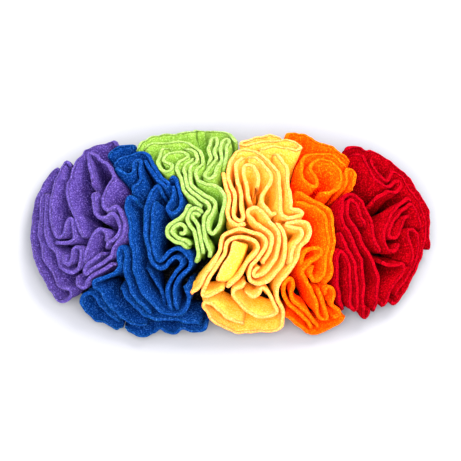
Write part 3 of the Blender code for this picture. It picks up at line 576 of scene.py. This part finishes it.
def on_plan(steps):
    """Steps on the layout grid as plan vectors in metres."""
    return np.array(steps) * GRID_STEP * np.array((1.0, -1.0 / math.sin(VIEW_TILT)))


def out_from_middle(plan):
    """How far out these plan places are: 0 in the middle of the mat, 1 on the dome's rim."""
    shares = np.abs(plan) / np.array((HALF_LENGTH, HALF_DEPTH))
    return np.sum(shares**PLAN_POWER, axis=1) ** (1.0 / PLAN_POWER)


def lean_of(places):
    """How far the layers lean outwards here, from their sewn foot to their cut edge, as plan vectors.

    They fan out from the middle of the mat and from their own gather, and spread most in the bottom skirts.
    """
    plan = places[:, :2]
    height = places[:, 2:] - BACKING_THICKNESS
    shares = plan / np.array((HALF_LENGTH, HALF_DEPTH))
    fanned = np.array(FAN_LEAN) * height * shares
    skirt = np.clip((out_from_middle(plan) - SKIRT_START) / (1.0 - SKIRT_START), 0.0, 1.0) ** 2
    spread = SKIRT_RUN * skirt[:, None] * unit(shares)
    middles = on_dome(np.array(GATHERS, dtype=float))[:, :2]
    apart = plan[:, None, :] - middles[None, :, :]
    share = np.exp(-np.sum(apart**2, axis=2) / (2.0 * GATHER_REACH**2)) + 1e-9
    share /= np.sum(share, axis=1, keepdims=True)
    return fanned + spread + GATHER_PULL * (plan - share @ middles)


def tuck_of(places):
    """How far the cloth beside a crease is tucked towards it below the cut edge, as plan vectors."""
    shift = np.zeros((len(places), 2))
    for start, end, pull, reach in CREASES:
        start = np.array(start, dtype=float)
        run = np.array(end, dtype=float) - start
        length = float(np.linalg.norm(run))
        run /= length
        along = (places - start) @ run
        past = along - np.clip(along, 0.0, length)
        beside = places - start - along[:, None] * run
        near = np.exp(-(np.sum(beside**2, axis=1) + past**2) / (2.0 * reach**2))
        shift += pull * near[:, None] * beside
    return on_plan(shift)


def end_drop(places):
    """How far the cut edge comes down towards a layer's free ends, so that its corners are round."""
    steps = np.linalg.norm(np.diff(places, axis=0), axis=1) * GRID_STEP
    reach = np.concatenate(([0.0], np.cumsum(steps)))
    near = np.minimum(reach, reach[-1] - reach)
    part = np.clip(1.0 - near / CORNER_REACH, 0.0, 1.0)
    return CORNER_DROP * (1.0 - np.sqrt(1.0 - part**2))


def unevenness(points):
    """Soft waves through the whole mat, which neighbouring layers share, so that they shift together."""
    shift = np.zeros_like(points)
    for direction, length, push in WAVES:
        turn = points @ unit(np.array(direction)) * (2.0 * math.pi / length)
        swing = np.sin(turn + WAVE_SHIFT * length * len(WAVES))
        shift += swing[..., None] * unit(np.array(push)) * length * WAVE_STEEPNESS
    rise = np.clip((points[..., 2:] - BACKING_THICKNESS) / WAVE_START, 0.0, 1.0)
    return shift * rise


def run_on(turns):
    """The turns of a layer that lies over, run on at both ends to meet the layers round the hollow."""
    first, second, last_but_one, last = (np.array(turns[k], dtype=float) for k in (0, 1, -2, -1))
    start = first + unit(first - second) * LYING_RUN_ON
    end = last + unit(last - last_but_one) * LYING_RUN_ON
    return (tuple(start), *turns, tuple(end))


def layer_middle(name, turns):
    """Grid of points through the middle of a layer: along the folds, then foot to edge."""
    deep, over, over_power = LYING.get(name, (0.0, (0.0, 0.0), TUCK_POWER))
    places = even_curve(run_on(turns) if name in LYING else turns)
    edge = on_dome(places)
    lean = lean_of(edge)[:, None, :]
    tuck = tuck_of(places)[:, None, :]
    over = on_plan(over)[None, None, :]
    edge[:, 2] -= deep + end_drop(places)
    sewn = BACKING_THICKNESS + SEAM_GAP
    levels = np.array(UP_LEVELS + (1.0,))[None, :, None]
    bent = lean * (1.0 - levels**LEAN_POWER) + tuck * (1.0 - levels**TUCK_POWER)
    plan = edge[:, None, :2] - bent - over * (1.0 - levels**over_power)
    height = sewn + (edge[:, None, 2:] - sewn) * levels
    middle = np.concatenate((plan, height), axis=2)
    return middle + unevenness(middle)


def fleece_sheet(node, turns):
    """A layer as a closed fine sheet with a soft rounded cut edge, and what its middle measures."""
    middle = layer_middle(node, turns)
    count, levels = middle.shape[:2]
    along = np.gradient(middle, axis=0)
    up = np.gradient(middle, axis=1)
    normals = unit(np.cross(along, up))
    rise = unit(up)
    half = 0.5 * np.interp(UP_LEVELS + (1.0,), THICKNESS_LEVELS, THICKNESSES)
    from_edge = np.linalg.norm(middle - middle[:, -1:, :], axis=2)
    columns = []
    rim_light_masks = []
    fold_shade_depths = []
    for sign in (1.0, -1.0):
        side = middle[:, :-1] + sign * normals[:, :-1] * half[None, :-1, None]
        # painted rim light: how much of the cut edge's painted light lies on the sides near the edge
        side_rim_light = np.clip(1.0 - from_edge[:, :-1] / RIM_LIGHT_REACH, 0.0, 1.0)
        radius = half[-1]
        crown = []
        for angle in EDGE_ROUND[:-1]:
            turn = math.radians(angle)
            crown.append(
                middle[:, -1]
                + sign * normals[:, -1] * radius * math.cos(turn)
                + rise[:, -1] * radius * EDGE_FLATNESS * (math.sin(turn) - 1.0)
            )
        crown = np.stack(crown, axis=1)
        columns.append(np.concatenate((side, crown), axis=1))
        rim_light_masks.append(np.concatenate((side_rim_light, np.ones(crown.shape[:2])), axis=1))
        # painted shade: how deep below the cut edge a point lies, for the darker fold colour
        fold_shade_depth = np.clip(from_edge[:, :-1] / FOLD_SHADE_REACH, 0.0, 1.0)
        fold_shade_depths.append(np.concatenate((fold_shade_depth, np.zeros(crown.shape[:2])), axis=1))
    loop = np.concatenate((columns[0], middle[:, -1:], columns[1][:, ::-1]), axis=1)
    rim_light_mask = np.concatenate((rim_light_masks[0], np.ones((count, 1)), rim_light_masks[1][:, ::-1]), axis=1)
    fold_shade_depth = np.concatenate((fold_shade_depths[0], np.zeros((count, 1)), fold_shade_depths[1][:, ::-1]), axis=1)
    loop[:, 0, 2] = BACKING_THICKNESS + SEAM_GAP
    loop[:, -1, 2] = BACKING_THICKNESS + SEAM_GAP
    around = loop.shape[1]
    faces = []
    for i in range(count - 1):
        for j in range(around):
            k = (j + 1) % around
            faces.append((i * around + j, (i + 1) * around + j, (i + 1) * around + k, i * around + k))
    start_cap = tuple(range(around))
    end_cap = tuple((count - 1) * around + j for j in reversed(range(around)))
    mesh = bpy.data.meshes.new(f"{node}_fleece")
    mesh.from_pydata(loop.reshape(-1, 3).tolist(), [], faces + [start_cap, end_cap])
    # The painted rim light and the painted fold shade go to the cloth as point values
    for attribute, values in (("painted_rim_light", rim_light_mask), ("fold_shade_depth", fold_shade_depth)):
        data = mesh.attributes.new(attribute, "FLOAT", "POINT").data
        data.foreach_set("value", values.reshape(-1).astype(np.float32))
    mesh.validate()
    mesh.shade_smooth()
    lengths = np.sum(np.linalg.norm(np.diff(middle, axis=0), axis=2), axis=0)
    tall = np.sum(np.linalg.norm(np.diff(middle, axis=1), axis=2), axis=1)
    return mesh, float(lengths[-1]), float(np.mean(tall))


def fleece_pile():
    """Shared effect: the pile's grain, its mottle, the painted shade deeper in the folds, the painted light
    on the cut edge, the painted sheen flecks.
    """
    group = bpy.data.node_groups.new("fleece_pile", "ShaderNodeTree")
    # Beside the face: the deep colour is painted shade in the folds, the edge colour painted light on the
    # cut edge, the fleck colour painted sheen on fibre tips
    for socket_name in ("Face Colour", "Painted Fold Shade", "Painted Rim Light", "Painted Sheen Fleck"):
        group.interface.new_socket(socket_name, in_out="INPUT", socket_type="NodeSocketColor")
    for socket_name in ("Grain", "Mottle", "Painted Sheen Flecks"):
        group.interface.new_socket(socket_name, in_out="INPUT", socket_type="NodeSocketFloat")
    group.interface.new_socket("Colour", in_out="OUTPUT", socket_type="NodeSocketColor")
    group.interface.new_socket("Pile Height", in_out="OUTPUT", socket_type="NodeSocketFloat")
    nodes = group.nodes
    links = group.links
    inside = nodes.new("NodeGroupInput")
    outside = nodes.new("NodeGroupOutput")
    place = nodes.new("ShaderNodeTexCoord")

    def noise_at(scale, detail):
        texture = nodes.new("ShaderNodeTexNoise")
        texture.inputs["Scale"].default_value = scale
        texture.inputs["Detail"].default_value = detail
        texture.inputs["Roughness"].default_value = 0.6
        links.new(place.outputs["Object"], texture.inputs["Vector"])
        return texture.outputs["Fac"]

    def worked(operation, first, second=None, third=None):
        step = nodes.new("ShaderNodeMath")
        step.operation = operation
        for socket, value in zip(step.inputs, (first, second, third)):
            if value is None:
                continue
            if isinstance(value, float):
                socket.default_value = value
            else:
                links.new(value, socket)
        return step.outputs["Value"]

    def mixed(amount, first, second):
        mix = nodes.new("ShaderNodeMix")
        mix.data_type = "RGBA"
        links.new(amount, mix.inputs["Factor"])
        links.new(first, mix.inputs["A"])
        links.new(second, mix.inputs["B"])
        return mix.outputs["Result"]

    def point_value(name):
        attribute = nodes.new("ShaderNodeAttribute")
        attribute.attribute_name = name
        return attribute.outputs["Fac"]

    pile = noise_at(PILE_SCALE, 3.0)
    clumps = noise_at(CLUMP_SCALE, 2.0)
    edge = point_value("painted_rim_light")
    # Painted shade: the face turns to the darker deep colour the further a point lies below the cut edge
    deep = worked("POWER", point_value("fold_shade_depth"), FOLD_SHADE_POWER)
    stands_out = worked("SUBTRACT", pile, NOISE_MIDDLE)
    # Painted light on the cut edge (paler in most colours, darker in yellow and green to tone down the lit
    # rims), with a ragged border from the pile noise
    ragged_rim_light = worked("MULTIPLY_ADD", stands_out, RIM_LIGHT_RAGGEDNESS, edge)
    ragged_rim_light = worked("MULTIPLY", worked("MINIMUM", worked("MAXIMUM", ragged_rim_light, 0.0), 1.0), edge)
    sides_with_fold_shade = mixed(deep, inside.outputs["Face Colour"], inside.outputs["Painted Fold Shade"])
    cloth = mixed(ragged_rim_light, sides_with_fold_shade, inside.outputs["Painted Rim Light"])
    # Painted sheen: pale flecks where the pile noise stands out, as though light glints on fibre tips
    sheen_flecks = worked("MULTIPLY", worked("MAXIMUM", stands_out, 0.0), inside.outputs["Painted Sheen Flecks"])
    whole = mixed(sheen_flecks, cloth, inside.outputs["Painted Sheen Fleck"])
    grain = worked("MULTIPLY", stands_out, inside.outputs["Grain"])
    mottle = worked("MULTIPLY", worked("SUBTRACT", clumps, NOISE_MIDDLE), inside.outputs["Mottle"])
    bright = worked("ADD", worked("ADD", grain, mottle), 1.0)
    tinted = nodes.new("ShaderNodeVectorMath")
    tinted.operation = "SCALE"
    links.new(whole, tinted.inputs["Vector"])
    links.new(bright, tinted.inputs["Scale"])
    links.new(tinted.outputs["Vector"], outside.inputs["Colour"])
    links.new(worked("ADD", pile, clumps), outside.inputs["Pile Height"])
    return group


def fleece(colour, pile):
    """The cloth of one colour: matt, with a soft sheen from its fibres."""
    # deep is painted shade in the folds, edge is painted light on the cut edge, fleck is painted sheen on
    # fibre tips and also tints the shader's sheen
    face, deep, edge, fibre_sheen = FLEECE_COLOURS[colour]
    material = bpy.data.materials.new(f"fleece_{colour}")
    material.use_nodes = True
    nodes = material.node_tree.nodes
    links = material.node_tree.links
    shader = nodes["Principled BSDF"]
    shader.inputs["Roughness"].default_value = 0.92
    shader.inputs["Specular IOR Level"].default_value = 0.05
    shader.inputs["Subsurface Weight"].default_value = 0.4
    shader.inputs["Subsurface Radius"].default_value = (1.0, 0.8, 0.6)
    shader.inputs["Subsurface Scale"].default_value = 0.006
    shader.inputs["Sheen Weight"].default_value = 0.2
    shader.inputs["Sheen Roughness"].default_value = 0.45
    shader.inputs["Sheen Tint"].default_value = (*fibre_sheen, 1.0)
    effect = nodes.new("ShaderNodeGroup")
    effect.node_tree = pile
    effect.inputs["Face Colour"].default_value = (*face, 1.0)
    effect.inputs["Painted Fold Shade"].default_value = (*deep, 1.0)
    effect.inputs["Painted Rim Light"].default_value = (*edge, 1.0)
    effect.inputs["Painted Sheen Fleck"].default_value = (*fibre_sheen, 1.0)
    effect.inputs["Painted Sheen Flecks"].default_value = SHEEN_FLECKS
    effect.inputs["Grain"].default_value = GRAIN
    effect.inputs["Mottle"].default_value = MOTTLE
    bump = nodes.new("ShaderNodeBump")
    bump.inputs["Strength"].default_value = 0.7
    bump.inputs["Distance"].default_value = 0.0009
    links.new(effect.outputs["Colour"], shader.inputs["Base Color"])
    links.new(effect.outputs["Pile Height"], bump.inputs["Height"])
    raised = nodes.new("ShaderNodeVectorMath")
    raised.operation = "ADD"
    raised.inputs[1].default_value = (0.0, 0.0, PILE_LIFT)
    lit_from = nodes.new("ShaderNodeVectorMath")
    lit_from.operation = "NORMALIZE"
    links.new(bump.outputs["Normal"], raised.inputs[0])
    links.new(raised.outputs["Vector"], lit_from.inputs[0])
    links.new(lit_from.outputs["Vector"], shader.inputs["Normal"])
    return material


def add_layers(cloths):
    """Every layer's fine sheet, standing for its solid."""
    for colour, layers in LAYERS.items():
        for number, turns in enumerate(layers, start=1):
            node = f"{colour}_layer_{number:02d}"
            mesh, length, tall = fleece_sheet(node, turns)
            piece = bpy.data.objects.new(f"{node}_fleece", mesh)
            mesh.materials.append(cloths[colour])
            bpy.context.scene.collection.objects.link(piece)
            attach(piece, "root")
            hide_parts(node)


def dress_backing(frame, cloth):
    """The backing keeps its solid and gets the fleece look."""
    backing = frame["nodes"]["backing"]
    backing.data.materials.clear()
    backing.data.materials.append(cloth)


def add_floor():
    """A plain pale floor."""
    mesh = bpy.data.meshes.new("floor")
    corners = [(x * FLOOR_HALF, y * FLOOR_HALF, 0.0) for x, y in ((-1, -1), (1, -1), (1, 1), (-1, 1))]
    mesh.from_pydata(corners, [], [(0, 1, 2, 3)])
    floor = bpy.data.objects.new("floor", mesh)
    material = bpy.data.materials.new("floor_paper")
    material.use_nodes = True
    shader = material.node_tree.nodes["Principled BSDF"]
    shader.inputs["Base Color"].default_value = (0.36, 0.36, 0.365, 1.0)
    shader.inputs["Roughness"].default_value = 0.9
    shader.inputs["Specular IOR Level"].default_value = 0.1
    mesh.materials.append(material)
    bpy.context.scene.collection.objects.link(floor)


def add_light(name, place, size, power):
    """A square softbox, very slightly warm, that faces the mat."""
    lamp = bpy.data.lights.new(name, "AREA")
    lamp.shape = "SQUARE"
    lamp.size = size
    lamp.energy = power
    lamp.color = (1.0, 0.98, 0.95)
    holder = bpy.data.objects.new(name, lamp)
    holder.location = place
    holder.rotation_euler = (-Vector(place)).to_track_quat("-Z", "Y").to_euler()
    bpy.context.scene.collection.objects.link(holder)


def add_lights():
    """A key light high on the right behind the mat, soft fills from the left and front, a pale surround."""
    add_light("key_softbox", (0.75, 0.95, 1.5), 0.9, KEY_POWER)
    add_light("fill_softbox", (-1.3, -0.7, 1.2), 1.4, FILL_POWER)
    add_light("front_softbox", (0.1, -0.8, 1.7), 1.6, FRONT_POWER)
    world = bpy.data.worlds.new("studio")
    world.use_nodes = True
    world.node_tree.nodes["Background"].inputs["Color"].default_value = (0.82, 0.85, 1.0, 1.0)
    world.node_tree.nodes["Background"].inputs["Strength"].default_value = SURROUND
    bpy.context.scene.world = world


def add_camera():
    """A long lens in front and high above, framed as the photo is."""
    up = (GRID_MIDDLE_DOWN - FRAME_MIDDLE) * GRID_STEP
    aim = Vector((0.0, 0.0, AIM_HEIGHT))
    aim.y = (up - aim.z * math.cos(VIEW_TILT)) / math.sin(VIEW_TILT)
    back = Vector((0.0, -math.cos(VIEW_TILT), math.sin(VIEW_TILT)))
    lens = bpy.data.cameras.new("camera")
    lens.sensor_width = SENSOR_WIDTH
    lens.lens = SENSOR_WIDTH * CAMERA_DISTANCE / (FRAME_PIXELS * GRID_STEP)
    lens.clip_end = CAMERA_REACH
    camera = bpy.data.objects.new("camera", lens)
    camera.location = aim + back * CAMERA_DISTANCE
    camera.rotation_euler = (-back).to_track_quat("-Z", "Y").to_euler()
    bpy.context.scene.collection.objects.link(camera)
    bpy.context.scene.camera = camera
    bpy.context.scene.view_settings.view_transform = "Standard"
    bpy.context.scene.view_settings.look = "High Contrast"


def main():
    """Load the frame, dress it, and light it."""
    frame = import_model()
    pile = fleece_pile()
    cloths = {colour: fleece(colour, pile) for colour in FLEECE_COLOURS}
    add_layers(cloths)
    dress_backing(frame, cloths["backing"])
    add_floor()
    add_lights()
    add_camera()


main()
